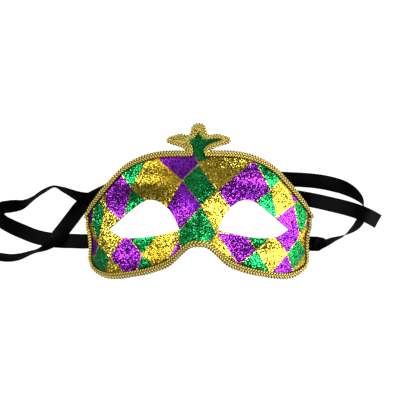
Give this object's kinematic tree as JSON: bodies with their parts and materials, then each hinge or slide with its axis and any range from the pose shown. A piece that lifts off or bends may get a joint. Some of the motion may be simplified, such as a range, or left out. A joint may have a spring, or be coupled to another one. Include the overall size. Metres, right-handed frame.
{
  "type": "harlequin half mask with tie ribbons",
  "caption": "Moulded half face mask with eye openings, nose notch and fleur crest, edged in gimp trim, with flat tie ribbons glued inside the temples.",
  "frame": {"origin": "middle of the mask's plan box without the ribbons, on the surface it lies on", "axes": "+Z out of the mask's front face, +Y towards the brow, +X towards the wearer's left temple"},
  "size_m": [0.3198, 0.1245, 0.0652],
  "materials": {
    "glitter_shell": "moulded plastic covered in green, gold and purple glitter diamonds, plain black inside",
    "gold_gimp": "metallic gold braid",
    "black_satin": "satin"
  },
  "bodies": {
    "root": {"mask_shell": "glitter_shell", "braid_lower": "gold_gimp", "braid_upper": "gold_gimp", "ribbon_left": "black_satin", "ribbon_right": "black_satin"}
  },
  "joints": []
}
